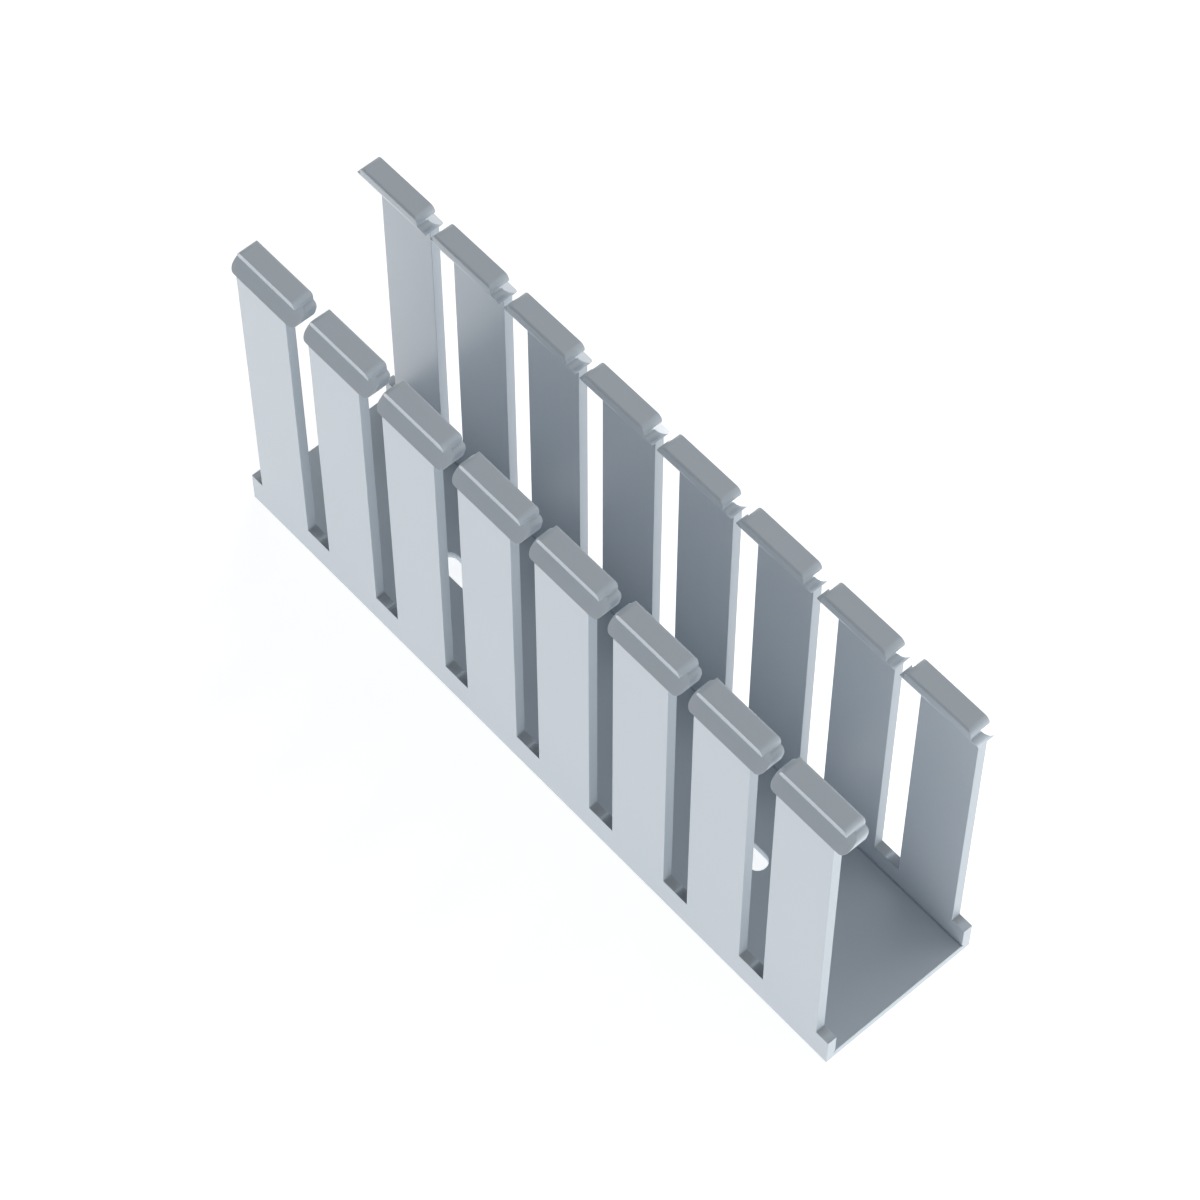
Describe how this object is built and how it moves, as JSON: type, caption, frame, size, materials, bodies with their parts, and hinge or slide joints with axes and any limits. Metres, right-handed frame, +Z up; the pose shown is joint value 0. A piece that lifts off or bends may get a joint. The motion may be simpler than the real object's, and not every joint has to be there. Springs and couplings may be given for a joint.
{
  "type": "slotted wire duct",
  "caption": "Short length of open-top slotted plastic wire duct: a U channel with mushroom-headed fingers and mounting slots in its floor.",
  "frame": {"origin": "middle of the flat underside of the floor", "axes": "+X along the duct, +Y across it from wall to wall, +Z up out of the open top"},
  "size_m": [0.1, 0.022, 0.0494],
  "materials": {
    "duct_plastic": "blue-grey rigid PVC, extruded and punched, smooth with a satin gloss"
  },
  "bodies": {
    "root": {"wire_duct": "duct_plastic"}
  },
  "joints": []
}
